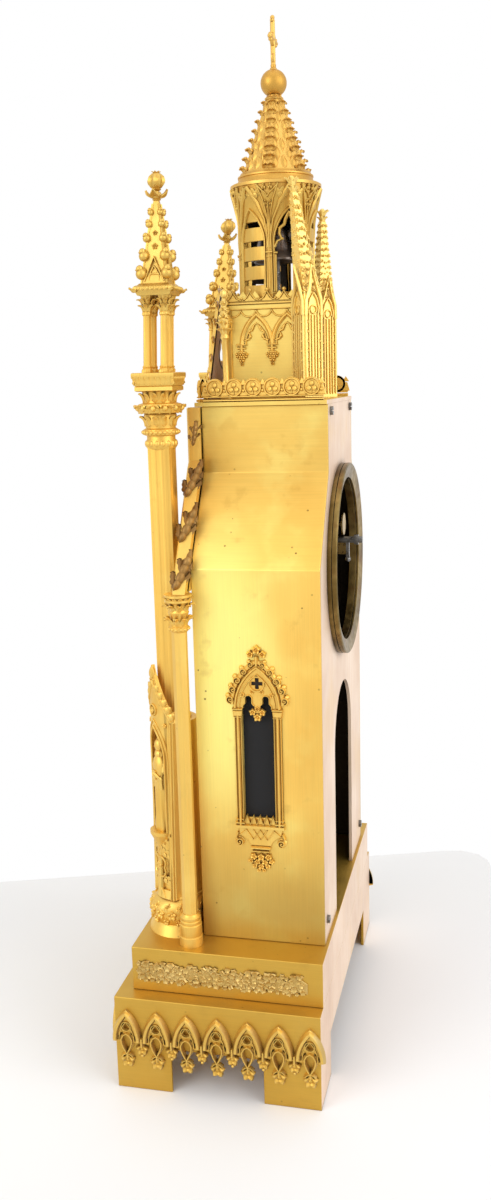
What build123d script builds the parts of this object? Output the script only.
from build123d import *
import math
import os

# A gilt Gothic-revival clock: stepped plinth, shouldered case, front piers and a belfry with a spire.
# Millimetres. X runs across the front, -Y faces the front, Z is up, the origin is under the base's middle.

# Plinth
PLINTH_HALF_W = 110.5
PLINTH_HALF_D = 60.0
PLINTH_H = 57.3
SHEET = 2.0
FOOT_W = 34.2
FOOT_D = 33.0
FOOT_H = 27.3
STEP_INSET = 9.9
STEP_SETBACK = 8.5
STEP_H = 26.5

# Friezes
FRIEZE_T = 3.6
ARCH_PITCH = 17.8
ARCH_SPRING = 32.0
ARCH_APEX = 50.5
ARCH_RIM = 2.2
DROP_Z = 18.8
DROP_R = 3.6
ROSETTE_R = 3.0
LEAF_T = 2.2
LEAF_R = 4.4
LEAF_PITCH = 7.2
LEAF_MARGIN = 1.6

# Case
CASE_HALF_W = 80.0
CASE_FRONT = -13.7
CASE_BACK = 57.9
WALL_H = 217.4
SLOPE_H = 49.6
HEAD_HALF_W = 47.0
HEAD_H = 36.9
ROOF_T = 2.3
ROOF_OVERHANG = 2.0
DIAL_RISE = 211.2
REAR_ARCH_HALF = 35.0
REAR_ARCH_TOP = 134.5
CLOTH_T = 1.0

# Side windows and portal
WINDOW_HALF = 8.75
WINDOW_FRAME_HALF = 13.4
WINDOW_SILL = 75.4
WINDOW_SPRING = 140.0
WINDOW_APEX = 165.5
WINDOW_T = 2.4
PORTAL_HALF = 33.0
PORTAL_SPRING = 66.0
PORTAL_APEX = 130.0
PORTAL_T = 2.8
PORTAL_RIM = 5.0
LIGHT_HALF = 11.0

# Gallery
GALLERY_T = 2.4
RAIL_H = 3.4
RING_R = 5.2
RING_PITCH = 10.9

# Front piers and columns
PIER_X = CASE_HALF_W - 12.0
PIER_Y = -31.0
PIER_FOOT_R = 18.7
PIER_FOOT_H = 7.2
PIER_BAND_R = 20.0
PIER_BAND_H = 15.0
PIER_R = 17.3
PIER_H = 107.0
PIER_BORE_R = 4.0
NICHE_T = 3.2
NICHE_REACH = 40.0
NICHE_TURN = 45.0
NICHE_OPENING_HALF = 8.2
NICHE_FLOOR = 63.2
NICHE_SPRING = 107.0
NICHE_APEX = 126.0
NICHE_GABLE_H = 33.0
RECESS_R = 8.4
RECESS_OUT = 17.0
FIGURE_H = 55.6
FIGURE_R = 6.2
SHAFT_LOBE_R = 4.6
SHAFT_LOBE_OUT = 3.5
SHAFT_H = 157.0
CAPITAL_H = 29.0
CAPITAL_R = 14.2
ABACUS_H = 8.0
ABACUS_HALF = 12.6
COLONNETTE_R = 2.5
COLONNETTE_OUT = 5.0
COLONNETTE_H = 39.0
ENTABLATURE_H = 6.0
ENTABLATURE_HALF = 11.7
PINNACLE_H = 40.0
PINNACLE_HALF = 7.4
FINIAL_H = 17.0
SLENDER_X = CASE_HALF_W + 10.0
SLENDER_Y = -18.4
SLENDER_R = 4.3
SLENDER_FOOT_R = 6.7
SLENDER_FOOT_H = 13.0
SLENDER_H = 173.5
SLENDER_CAP_H = 19.0
SLENDER_CAP_HALF = 8.2
CREST_HALF_W = 3.4
CREST_DEPTH = 8.5
GABLE_HALF = 40.0
GABLE_H = 66.0
GABLE_T = 2.4

# Tower and belfry
TOWER_HALF = 24.0
TOWER_FRONT = -3.7
TOWER_BACK = 45.2
TOWER_H = 56.0
CREST_TOOTH = 4.6
TURRET_SIDE = 13.2
TURRET_H = 62.0
TURRET_TIP_H = 113.0
BALUSTER_X = 28.4
BALUSTER_Y = -3.3
BALUSTER_R = 1.8
BALUSTER_H = 52.0
BALUSTER_TIP_H = 100.0
LANTERN_R = 21.2
LANTERN_WALL = 2.4
LANTERN_H = 57.0
LANTERN_OPEN_HALF = 7.0
LANTERN_OPEN_SILL = 4.0
LANTERN_OPEN_SPRING = 33.0
LANTERN_OPEN_APEX = 50.0
LOUVRES = 4
LOUVRE_PITCH = 10.4
LOUVRE_GAP = 3.2
SHAFT_R = 1.9
CORNICE_R = 26.0
CORNICE_H = 18.0
SPIRE_R = 18.5
SPIRE_TIP_R = 4.5
SPIRE_H = 36.0
BALL_R = 7.4
CROSS_H = 28.0
CROSS_ARM = 9.0
CROSS_W = 3.4
CROSS_T = 2.6

# Bell and hammer
BELL_R = 15.0
BELL_H = 26.0
BELL_WALL = 1.6
BELL_RISE = 22.0
POST_R = 1.5
STAND_R = 11.0
STAND_T = 2.0
HAMMER_X = 5.0
HAMMER_OFF_Y = -4.0
HAMMER_RISE = 7.0
HAMMER_HEAD_R = 2.2
HAMMER_GAP = 1.4
HAMMER_T = 2.0
TAIL = 12.0
TAIL_HALF = 0.8
TAIL_GAP = 0.5
WIRE_R = 0.8
WIRE_DROP = 114.0

# Dial, rings and bezels
DIAL_R = 44.8
DIAL_T = 1.0
DIAL_BORE = 45.0
RING_R_OUT = 51.0
RING_T = 2.5
SPIGOT_R = 46.8
SPIGOT_L = 2.5
BEZEL_T = 6.0
BEZEL_BORE = 43.2
GLASS_T = 1.0
GLASS_R = 44.4
HINGE_R = 1.9
HINGE_L = 7.0
PIN_R = 0.8
REAR_R = 57.0
REAR_BORE = 48.5
REAR_SPIGOT_R = 49.9
REAR_RING_T = 2.4
REAR_BEZEL_T = 3.0
STRAP_W = 10.0

# Movement
PLATE_R = 42.0
PLATE_T = 2.0
PLATE_SETBACK = 9.7
PLATE_GAP = 34.0
PILLAR_R = 2.5
ARBOR_R = 0.9
PIVOT_R = 0.6
CENTRE_R = 1.2
BARREL_ARBOR_R = 2.2
BARREL_X = 20.2
BARREL_DROP = 7.35
BARREL_R = 18.0
BARREL_L = 18.5
WHEEL_T = 1.5
PINION_L = 2.6
GREAT_TEETH = 72
GREAT_R = 19.5
BARREL_PINION = 10
SECOND_TEETH = 60
SECOND_R = 13.5
CENTRE_PINION = 10
CENTRE_TEETH = 96
CENTRE_WHEEL_R = 12.96
THIRD_PINION = 8
THIRD_TEETH = 88
THIRD_R = 10.56
ESCAPE_PINION = 8
ESCAPE_RISE = 24.0
ESCAPE_TEETH = 34
ESCAPE_R = 9.0
ANCHOR_RISE = 12.5
ANCHOR_GAP = 1.2
ANCHOR_BAND = 1.8
CANNON_TEETH = 12
MINUTE_TEETH = 36
MINUTE_PINION = 10
HOUR_TEETH = 40
MOTION_DROP = 12.0
STRIKE_TEETH = 55
STRIKE_R = 11.0
PIN_PINION = 8
PIN_TEETH = 56
PIN_WHEEL_R = 8.96
FLY_PINION = 7
FLY_REACH = 7.6
PIN_TURN = 135.0
FLY_TURN = 45.0
COUNT_R = 15.0
PENDULUM_L = 160.0
PENDULUM_Y = 47.0
BOB_R = 17.0
BOB_T = 7.0
ROD_R = 1.3
CRUTCH_L = 46.0
REGULATOR_X = -9.0
REGULATOR_RISE = 10.0
REGULATOR_R = 2.0
REGULATOR_END = 69.4
MINUTE_AT = 10.0
HOUR_AT = 10.0

# Fits
RUN = 0.05
CLEAR = 0.3
SCREW_R = 2.4

# Levels and planes that follow
STEP_TOP = PLINTH_H + STEP_H
SHOULDER_Z = STEP_TOP + WALL_H
NECK_Z = SHOULDER_Z + SLOPE_H
ROOF_Z = NECK_Z + HEAD_H
ROOF_TOP = ROOF_Z + ROOF_T
TOWER_TOP = ROOF_TOP + TOWER_H
LANTERN_TOP = TOWER_TOP + LANTERN_H
CORNICE_TOP = LANTERN_TOP + CORNICE_H
SPIRE_TOP = CORNICE_TOP + SPIRE_H
DIAL_Z = STEP_TOP + DIAL_RISE
PIER_TOP = STEP_TOP + PIER_FOOT_H + PIER_BAND_H + PIER_H
MID_Y = (CASE_FRONT + CASE_BACK) / 2
TOWER_Y = (CASE_FRONT + CASE_BACK) / 2
PLATE_FRONT = CASE_FRONT + PLATE_SETBACK
GAP_0 = PLATE_FRONT + PLATE_T
GAP_1 = GAP_0 + PLATE_GAP
PLATE_BACK = GAP_1 + PLATE_T
ROOF_HALF_W = HEAD_HALF_W + ROOF_OVERHANG
ROOF_FRONT = CASE_FRONT - 1.6 * ROOF_OVERHANG
STEP_HALF_W = PLINTH_HALF_W - STEP_INSET
STEP_FRONT = STEP_SETBACK - PLINTH_HALF_D


# Shape helpers

def block(x0, x1, y0, y1, z0, z1):
    """A box between two corners."""
    centre = Pos((x0 + x1) / 2, (y0 + y1) / 2, (z0 + z1) / 2)
    return centre * Box(x1 - x0, y1 - y0, z1 - z0)


def post(x, y, z0, z1, radius):
    """An upright cylinder."""
    return Pos(x, y, (z0 + z1) / 2) * Cylinder(radius, z1 - z0)


def spindle(x, z, y0, y1, radius):
    """A cylinder along Y."""
    return Pos(x, (y0 + y1) / 2, z) * Rot(90, 0, 0) * Cylinder(radius, y1 - y0)


def turned(points):
    """A solid turned about Z from (radius, height) points, closed along the axis."""
    outline = [(0.0, points[0][1])] + list(points) + [(0.0, points[-1][1])]
    return revolve(Plane.XZ * Polygon(*outline, align=None), axis=Axis.Z)


def turned_ring(points):
    """A hollow solid turned about Z from a closed (radius, height) outline."""
    return revolve(Plane.XZ * Polygon(*points, align=None), axis=Axis.Z)


def disc(x, z, radius):
    """A round face."""
    return Pos(x, z) * Circle(radius)


def bar(x0, x1, z0, z1):
    """A rectangular face between two corners."""
    return Pos((x0 + x1) / 2, (z0 + z1) / 2) * Rectangle(x1 - x0, z1 - z0)


def polygon(*points):
    """A face with straight sides, its corners taken the same way round whatever order they come in."""
    area = sum(p[0] * q[1] - q[0] * p[1] for p, q in zip(points, points[1:] + points[:1]))
    ordered = points if area > 0 else points[::-1]
    return Polygon(*ordered, align=None)


def pointed(half, sill, spring, apex, x=0.0):
    """A pointed arch face about the line x, from its sill to its apex."""
    rise = apex - spring
    radius = (half**2 + rise**2) / (2 * half)
    turn = math.atan2(rise, radius - half) / 2
    mid_x = half - radius + radius * math.cos(turn)
    mid_z = spring + radius * math.sin(turn)
    edges = [
        Line((x - half, sill), (x + half, sill)),
        Line((x + half, sill), (x + half, spring)),
        ThreePointArc((x + half, spring), (x + mid_x, mid_z), (x, apex)),
        ThreePointArc((x, apex), (x - mid_x, mid_z), (x - half, spring)),
        Line((x - half, spring), (x - half, sill)),
    ]
    return make_face(edges)


def across(face, y_front, y_back):
    """A face drawn in (X, Z), made solid between two planes of Y."""
    plane = Plane((0, y_back, 0), x_dir=(1, 0, 0), z_dir=(0, -1, 0))
    return extrude(plane * face, amount=y_back - y_front)


def along(face, x0, x1):
    """A face drawn in (Y, Z), made solid between two planes of X."""
    plane = Plane((x0, 0, 0), x_dir=(0, 1, 0), z_dir=(1, 0, 0))
    return extrude(plane * face, amount=x1 - x0)


def flip(shape):
    """The mirror image on the other side of the X = 0 plane."""
    return mirror(shape, about=Plane.YZ)


def pair(shape):
    """A shape and its mirror image, as two solids."""
    return Compound(children=[*shape.solids(), *flip(shape).solids()])


def group(*shapes):
    """Several pieces kept as separate solids."""
    return Compound(children=[s for shape in shapes for s in shape.solids()])


def spire_of(half_low, half_high, z0, z1, x=0.0, y=0.0, turn=0.0):
    """A four-sided tapering block."""
    low = Pos(x, y, z0) * Rot(0, 0, turn) * Rectangle(2 * half_low, 2 * half_low)
    high = Pos(x, y, z1) * Rot(0, 0, turn) * Rectangle(2 * half_high, 2 * half_high)
    return loft([low, high])


def edge_balls(half_low, half_high, z0, z1, rows, radius, x=0.0, y=0.0, turn=0.0):
    """Crockets: balls up the four edges of a tapering block, smaller towards the top."""
    balls = []
    for row in range(rows):
        share = (row + 0.5) / rows
        reach = half_low + (half_high - half_low) * share
        size = radius * (1.0 - 0.45 * share)
        for side in range(4):
            angle = math.radians(45 + 90 * side + turn)
            out = reach * math.sqrt(2)
            place = Pos(x + out * math.cos(angle), y + out * math.sin(angle), z0 + (z1 - z0) * share)
            balls.append(place * Sphere(size))
    return balls


# Plinth and friezes

def make_lower_plinth():
    """Folded sheet box, open below, cut away between four block feet."""
    shell = block(-PLINTH_HALF_W, PLINTH_HALF_W, -PLINTH_HALF_D, PLINTH_HALF_D, 0, PLINTH_H)
    half_w = PLINTH_HALF_W - SHEET
    half_d = PLINTH_HALF_D - SHEET
    hollow = block(-half_w, half_w, -half_d, half_d, 0, PLINTH_H - SHEET)
    gap_x = PLINTH_HALF_W - FOOT_W
    gap_y = PLINTH_HALF_D - FOOT_D
    front_gap = block(-gap_x, gap_x, -PLINTH_HALF_D, PLINTH_HALF_D, 0, FOOT_H)
    side_gap = block(-PLINTH_HALF_W, PLINTH_HALF_W, -gap_y, gap_y, 0, FOOT_H)
    return shell - hollow - front_gap - side_gap


def make_upper_plinth():
    """The step that the case and the piers stand on, flush with the plinth at the back."""
    shell = block(-STEP_HALF_W, STEP_HALF_W, STEP_FRONT, PLINTH_HALF_D, PLINTH_H, STEP_TOP)
    half_w = STEP_HALF_W - SHEET
    hollow = block(-half_w, half_w, STEP_FRONT + SHEET, PLINTH_HALF_D - SHEET, PLINTH_H, STEP_TOP - SHEET)
    return shell - hollow


def arcade_face(bays, middle):
    """A run of pointed arches with pierced tracery, flower drops and rosettes between them."""
    half = ARCH_PITCH / 2
    band = ARCH_RIM + 0.6
    first = middle - ARCH_PITCH * (bays - 1) / 2
    centres = [first + ARCH_PITCH * bay for bay in range(bays)]
    solid = []
    holes = []
    for x in centres:
        solid.append(pointed(half, ARCH_SPRING - band, ARCH_SPRING, ARCH_APEX, x))
        solid.append(disc(x, DROP_Z, DROP_R))
        solid.append(bar(x - 1.3, x + 1.3, DROP_Z, ARCH_SPRING))
        holes.append(disc(x, ARCH_APEX - 7.6, 2.2))
        holes.append(Pos(x, ARCH_SPRING + 2.6) * Ellipse(1.7, 3.4))
        for side in (-1, 1):
            holes.append(Pos(x + 4.7 * side, ARCH_SPRING + 2.8) * Rot(0, 0, 28 * side) * Ellipse(1.2, 3.0))
    for x in [first - half] + [x + half for x in centres]:
        solid.append(disc(x, ARCH_SPRING - band - ROSETTE_R + 1.2, ROSETTE_R))
    low, high = first - half - FRIEZE_T, centres[-1] + half + FRIEZE_T
    run = bar(low, high, DROP_Z - DROP_R, ARCH_APEX)
    return (solid[0] + solid[1:] - holes) & run


def make_arcade_friezes():
    """Pointed-arch friezes applied to the plinth's front and sides."""
    bays_across = int(2 * PLINTH_HALF_W / ARCH_PITCH)
    bays_along = int((2 * PLINTH_HALF_D + 2 * FRIEZE_T) / ARCH_PITCH)
    front = across(arcade_face(bays_across, 0.0), -PLINTH_HALF_D - FRIEZE_T, -PLINTH_HALF_D)
    side = along(arcade_face(bays_along, 0.7), PLINTH_HALF_W, PLINTH_HALF_W + FRIEZE_T)
    clear = -PLINTH_HALF_D
    side = side - block(0, 2 * PLINTH_HALF_W, 2 * clear, clear, 0, PLINTH_H)
    return group(front, side, flip(side))


def leaf_face(low, high, z):
    """A wavy band of overlapping leaf discs on a stem."""
    count = max(2, int((high - low - 2 * LEAF_R) / LEAF_PITCH))
    pitch = (high - low - 2 * LEAF_R) / count
    solid = [bar(low + LEAF_R, high - LEAF_R, z - LEAF_R * 0.6, z + LEAF_R * 0.6)]
    holes = []
    for i in range(count + 1):
        x = low + LEAF_R + i * pitch
        lift = LEAF_R * 0.55 * (1 if i % 2 else -1)
        solid.append(disc(x, z + lift, LEAF_R))
        holes.append(disc(x, z + lift, LEAF_R * 0.2))
    return solid[0] + solid[1:] - holes


def make_leaf_friezes():
    """Pierced vine friezes on the step's front and sides."""
    z = PLINTH_H + STEP_H * 0.46
    half = STEP_HALF_W - LEAF_MARGIN
    front = across(leaf_face(-half, half, z), STEP_FRONT - LEAF_T, STEP_FRONT)
    low, high = STEP_FRONT + LEAF_MARGIN, PLINTH_HALF_D - 4 * LEAF_MARGIN
    side = along(leaf_face(low, high, z), STEP_HALF_W, STEP_HALF_W + LEAF_T)
    return group(front, side, flip(side))


# Case

def wall_outline(inset):
    """Half outline of the case, moved in by a sheet's thickness, as (X, Z) points from the bottom up."""
    lean = math.atan2(CASE_HALF_W - HEAD_HALF_W, SLOPE_H)
    drop = inset * math.tan(lean / 2)
    return [
        (CASE_HALF_W - inset, STEP_TOP),
        (CASE_HALF_W - inset, SHOULDER_Z - drop),
        (HEAD_HALF_W - inset, NECK_Z - drop),
        (HEAD_HALF_W - inset, ROOF_Z),
    ]


def window_opening():
    """The glazed light of a side window, in (Y, Z)."""
    return pointed(
        WINDOW_HALF,
        STEP_TOP + WINDOW_SILL,
        STEP_TOP + WINDOW_SPRING,
        STEP_TOP + WINDOW_SPRING + WINDOW_HALF * 1.1,
        MID_Y,
    )


def make_side():
    """The right wall: one sheet bent at the shoulder and the neck, with its window cut out."""
    outline = wall_outline(0) + wall_outline(SHEET)[::-1]
    sheet = across(polygon(*outline), CASE_FRONT, CASE_BACK)
    return sheet - along(window_opening(), 0, 2 * CASE_HALF_W)


def panel():
    """The face between the two walls, in (X, Z)."""
    half = wall_outline(SHEET)
    return polygon(*half, *[(-x, z) for x, z in half[::-1]])


def portal_lights():
    """Two lancets and a rose, in (X, Z)."""
    sill = STEP_TOP + PORTAL_RIM * 2
    spring = STEP_TOP + PORTAL_SPRING
    lights = [
        pointed(LIGHT_HALF, sill, spring, spring + 1.9 * LIGHT_HALF, side * (LIGHT_HALF + PORTAL_RIM / 2))
        for side in (-1, 1)
    ]
    rose = disc(0, STEP_TOP + (PORTAL_SPRING + PORTAL_APEX) / 2 + 4.0, LIGHT_HALF * 0.9)
    return lights[0] + [lights[1], rose]


def make_case_front():
    """Front panel with the dial's hole and the portal's lights."""
    face = panel() - disc(0, DIAL_Z, SPIGOT_R + RUN) - portal_lights()
    return across(face, CASE_FRONT, CASE_FRONT + SHEET)


def make_case_back():
    """Back panel with a round hole for the rear ring and a tall arch that gives reach to the pendulum."""
    spring = STEP_TOP + REAR_ARCH_TOP - REAR_ARCH_HALF
    arch = bar(-REAR_ARCH_HALF, REAR_ARCH_HALF, STEP_TOP, spring) + disc(0, spring, REAR_ARCH_HALF)
    holes = disc(0, DIAL_Z, REAR_SPIGOT_R + RUN) + [disc(x, z, SCREW_R / 2) for x, z in screw_places()]
    return across(panel() - arch - holes, CASE_BACK - SHEET, CASE_BACK)


def screw_places():
    """Where the back panel's screws go, in (X, Z)."""
    high = ROOF_Z - 1.6 * SCREW_R
    low = STEP_TOP + 5 * SCREW_R
    head = HEAD_HALF_W - 4 * SCREW_R
    foot = CASE_HALF_W - 4 * SCREW_R
    return [(-head, high), (head, high), (-foot, low), (foot, low)]


def make_case_screws():
    """Slotted round-headed screws in the back panel."""
    screws = []
    for x, z in screw_places():
        shank = spindle(x, z, CASE_BACK - 2 * SHEET, CASE_BACK, SCREW_R / 2 - RUN)
        head = spindle(x, z, CASE_BACK, CASE_BACK + SCREW_R * 0.7, SCREW_R)
        slot = block(x - SCREW_R, x + SCREW_R, CASE_BACK + SCREW_R * 0.35, CASE_BACK + SCREW_R, z - 0.3, z + 0.3)
        screws.append(shank + head - slot)
    return group(*screws)


def make_case_top():
    """Roof plate, with a guide hole for the hammer's wire."""
    plate = block(-ROOF_HALF_W, ROOF_HALF_W, ROOF_FRONT, CASE_BACK, ROOF_Z, ROOF_TOP)
    return plate - post(wire_x(), wire_y(), ROOF_Z, ROOF_TOP, WIRE_R + RUN)


def trefoil(x, z):
    """Three round lobes."""
    lobes = [disc(x + 1.75 * math.cos(a), z + 1.75 * math.sin(a), 1.55) for a in thirds()]
    return disc(x, z, 1.2) + lobes


def thirds():
    """Angles of a trefoil's lobes, one of them upright."""
    return [math.radians(90 + 120 * i) for i in range(3)]


def gallery_face(low, high):
    """A rail with a row of ringed trefoils."""
    count = int((high - low) / RING_PITCH)
    first = (low + high - RING_PITCH * (count - 1)) / 2
    z = ROOF_TOP + RAIL_H + RING_R - 1.0
    solid = [disc(first + i * RING_PITCH, z, RING_R) for i in range(count)]
    holes = [trefoil(first + i * RING_PITCH, z) for i in range(count)]
    return bar(low, high, ROOF_TOP, ROOF_TOP + RAIL_H) + solid - holes


def make_gallery():
    """Pierced rail round the roof's front and sides."""
    side = along(gallery_face(ROOF_FRONT, CASE_BACK), ROOF_HALF_W - GALLERY_T, ROOF_HALF_W)
    front = across(gallery_face(-ROOF_HALF_W, ROOF_HALF_W), ROOF_FRONT, ROOF_FRONT + GALLERY_T)
    return front + [side, flip(side)]


def window_face():
    """A window's applied frame: jambs, crocketed arch with a finial, sill, apron and drop, in (Y, Z)."""
    sill = STEP_TOP + WINDOW_SILL
    spring = STEP_TOP + WINDOW_SPRING
    apex = STEP_TOP + WINDOW_APEX
    half = WINDOW_FRAME_HALF
    solid = [
        bar(MID_Y - half, MID_Y + half, sill - 5, spring),
        bar(MID_Y - half - 0.6, MID_Y + half + 0.6, sill - 6.5, sill - 3.5),
        bar(MID_Y - half - 1, MID_Y + half + 1, spring - 3, spring),
        polygon(
            (MID_Y - half, sill - 6),
            (MID_Y + half, sill - 6),
            (MID_Y + half * 0.45, sill - 21),
            (MID_Y - half * 0.45, sill - 21),
        ),
        disc(MID_Y, sill - 26, half * 0.5),
        pointed(half + 1.2, spring - 1, spring, apex, MID_Y),
        disc(MID_Y, apex + 3.5, 4.2),
        disc(MID_Y, apex + 8.5, 3.0),
    ]
    for side in (-1, 1):
        solid.append(disc(MID_Y + side * (half - 0.4), sill - 13.5, 3.2))
        for share in (0.1, 0.4, 0.7):
            y = MID_Y + side * (half + 1.4) * (1 - share**1.6)
            solid.append(disc(y, spring + (apex - spring) * share, 2.9))
    top = spring + WINDOW_HALF * 1.2
    pendant = disc(MID_Y, spring - 3.5, 4.4) + bar(MID_Y - 1.3, MID_Y + 1.3, spring - 3.5, top)
    holes = [window_opening() - pendant, disc(MID_Y, spring + 14.2, 2.2)]
    return solid[0] + solid[1:] - holes


def make_window_frames():
    """The two applied window frames."""
    return pair(along(window_face(), CASE_HALF_W, CASE_HALF_W + WINDOW_T))


def make_dark_cloths():
    """Dark cloth behind the side windows and the portal."""
    half = WINDOW_HALF + 4
    z0, z1 = STEP_TOP + WINDOW_SILL - 4, STEP_TOP + WINDOW_SPRING + WINDOW_HALF * 1.1 + 4
    inner = CASE_HALF_W - SHEET
    side = block(inner - CLOTH_T, inner, MID_Y - half, MID_Y + half, z0, z1)
    reach = PORTAL_HALF - PORTAL_RIM / 2
    back = CASE_FRONT + SHEET
    front = block(-reach, reach, back, back + CLOTH_T, STEP_TOP + PORTAL_RIM, STEP_TOP + PORTAL_APEX)
    return group(side, flip(side), front)


def make_portal_tracery():
    """Applied portal: a pointed frame with two lancets and a rose."""
    frame = pointed(PORTAL_HALF, STEP_TOP, STEP_TOP + PORTAL_SPRING, STEP_TOP + PORTAL_APEX)
    tip = disc(0, STEP_TOP + PORTAL_APEX, PORTAL_RIM * 0.6)
    return across(frame + tip - portal_lights(), CASE_FRONT - PORTAL_T, CASE_FRONT)


# Piers, columns and pinnacles

def make_pier():
    """A round pier with a leaf band, hollowed at its outer front for its figure and bored for its rod."""
    z1 = STEP_TOP + PIER_FOOT_H
    z2 = z1 + PIER_BAND_H
    swell = PIER_BAND_R - PIER_R
    body = turned(
        [
            (PIER_FOOT_R, STEP_TOP),
            (PIER_FOOT_R, z1 - 2),
            (PIER_R, z1),
            (PIER_R + swell * 0.6, z1 + 2),
            (PIER_BAND_R, z1 + PIER_BAND_H * 0.6),
            (PIER_R + swell * 0.8, z2 - 2),
            (PIER_R, z2),
            (PIER_R, PIER_TOP),
        ]
    )
    floor = STEP_TOP + NICHE_FLOOR
    head = floor + FIGURE_H * 0.9
    recess = Rot(0, 0, NICHE_TURN) * post(0, -RECESS_OUT, floor, head, RECESS_R)
    dome = Rot(0, 0, NICHE_TURN) * Pos(0, -RECESS_OUT, head) * Sphere(RECESS_R)
    bore = post(0, RECESS_R / 2, STEP_TOP, PIER_TOP, PIER_BORE_R)
    wide = 2 * PIER_BAND_R
    flat = block(-wide, wide, CASE_FRONT - PIER_Y, wide, STEP_TOP, PIER_TOP)
    return Pos(PIER_X, PIER_Y, 0) * (body - [recess, dome, bore, flat])


def make_niche():
    """A shell on the pier's outer front, with a gabled head, an opening and small tracery below."""
    low = STEP_TOP + PIER_FOOT_H + PIER_BAND_H
    high = PIER_TOP + NICHE_GABLE_H
    outer = PIER_R + RUN + NICHE_T
    tube = post(0, 0, low, high, outer) - post(0, 0, low, high, PIER_R + RUN)
    reach = outer * math.sin(math.radians(NICHE_REACH))
    outline = polygon((-reach, low), (reach, low), (reach, PIER_TOP), (0, high), (-reach, PIER_TOP))
    floor = STEP_TOP + NICHE_FLOOR
    light = pointed(NICHE_OPENING_HALF, floor, STEP_TOP + NICHE_SPRING, STEP_TOP + NICHE_APEX)
    small_low, small_high = low + 5, floor - 12
    holes = [pointed(3.2, small_low, small_high - 6, small_high, x) for x in (-6.0, 6.0)]
    eye = disc(0, PIER_TOP + NICHE_GABLE_H * 0.22, 3.0)
    shell = tube & across(outline - [light, eye, *holes], -2 * outer, 0)
    corbel = turned([(2.5, floor - 10), (NICHE_OPENING_HALF, floor - 2), (NICHE_OPENING_HALF, floor)])
    corbel = Pos(0, -RECESS_OUT - 1.5, 0) * corbel - post(0, 0, low, high, outer - RUN)
    return Pos(PIER_X, PIER_Y, 0) * Rot(0, 0, NICHE_TURN) * (shell + corbel)


def make_statuette():
    """A standing robed figure with a plain round head."""
    z = STEP_TOP + NICHE_FLOOR
    r = FIGURE_R
    robe = turned(
        [
            (r * 0.95, z),
            (r * 0.95, z + FIGURE_H * 0.04),
            (r * 0.78, z + FIGURE_H * 0.3),
            (r * 0.72, z + FIGURE_H * 0.5),
            (r * 0.9, z + FIGURE_H * 0.66),
            (r * 0.92, z + FIGURE_H * 0.75),
            (r * 0.55, z + FIGURE_H * 0.81),
            (r * 0.3, z + FIGURE_H * 0.83),
            (r * 0.3, z + FIGURE_H * 0.88),
        ]
    )
    head_r = FIGURE_H * 0.07
    head = Pos(0, 0, z + FIGURE_H - head_r) * Sphere(head_r)
    arms = [
        Pos(side * r * 0.55, -r * 0.45, z + FIGURE_H * 0.6) * Rot(0, side * 35, 0) * Cylinder(r * 0.24, r * 1.1)
        for side in (-1, 1)
    ]
    return Pos(PIER_X, PIER_Y, 0) * Rot(0, 0, NICHE_TURN) * Pos(0, -RECESS_OUT, 0) * (robe + [head, *arms])


def make_tall_column():
    """A clustered shaft with a moulded, leafy capital under a square abacus."""
    z0 = PIER_TOP
    z1 = z0 + SHAFT_H
    lobes = []
    for i in range(4):
        angle = math.radians(45 + 90 * i)
        x = SHAFT_LOBE_OUT * math.cos(angle)
        y = SHAFT_LOBE_OUT * math.sin(angle)
        lobes.append(post(x, y, z0, z1, SHAFT_LOBE_R))
    wide = SHAFT_LOBE_OUT + SHAFT_LOBE_R
    capital = turned(
        [
            (wide + 0.8, z1),
            (wide + 0.8, z1 + CAPITAL_H * 0.14),
            (wide + 2.2, z1 + CAPITAL_H * 0.16),
            (wide + 2.2, z1 + CAPITAL_H * 0.28),
            (wide + 0.6, z1 + CAPITAL_H * 0.34),
            (wide + 1.2, z1 + CAPITAL_H * 0.42),
            (CAPITAL_R, z1 + CAPITAL_H * 0.72),
            (CAPITAL_R - 0.8, z1 + CAPITAL_H * 0.78),
            (wide + 1.5, z1 + CAPITAL_H * 0.82),
            (wide + 1.8, z1 + CAPITAL_H),
        ]
    )
    top = z1 + CAPITAL_H
    abacus = spire_of(ABACUS_HALF * 0.8, ABACUS_HALF, top, top + ABACUS_H * 0.5)
    lid = block(-ABACUS_HALF, ABACUS_HALF, -ABACUS_HALF, ABACUS_HALF, top + ABACUS_H * 0.5, top + ABACUS_H)
    return Pos(PIER_X, PIER_Y, 0) * (lobes[0] + [*lobes[1:], capital, abacus, lid])


def column_top():
    """Height of the tall columns' abacus."""
    return PIER_TOP + SHAFT_H + CAPITAL_H + ABACUS_H


def make_tabernacle():
    """Four colonnettes under a square entablature."""
    z0 = column_top()
    z1 = z0 + COLONNETTE_H
    pieces = []
    for sx in (-1, 1):
        for sy in (-1, 1):
            x, y = sx * COLONNETTE_OUT, sy * COLONNETTE_OUT
            shaft = turned(
                [
                    (COLONNETTE_R * 1.25, z0),
                    (COLONNETTE_R * 1.25, z0 + 1.6),
                    (COLONNETTE_R * 0.9, z0 + 3.0),
                    (COLONNETTE_R * 0.9, z1 - 7.5),
                    (COLONNETTE_R * 1.15, z1 - 7.0),
                    (COLONNETTE_R * 1.15, z1 - 5.8),
                    (COLONNETTE_R * 1.0, z1 - 5.2),
                    (COLONNETTE_R * 1.5, z1),
                ]
            )
            pieces.append(Pos(x, y, 0) * shaft)
    h = ENTABLATURE_H
    low = spire_of(ENTABLATURE_HALF * 0.82, ENTABLATURE_HALF, z1, z1 + h * 0.6)
    lid = spire_of(ENTABLATURE_HALF, ENTABLATURE_HALF * 0.86, z1 + h * 0.6, z1 + h)
    return Pos(PIER_X, PIER_Y, 0) * (low + [lid, *pieces])


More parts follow.
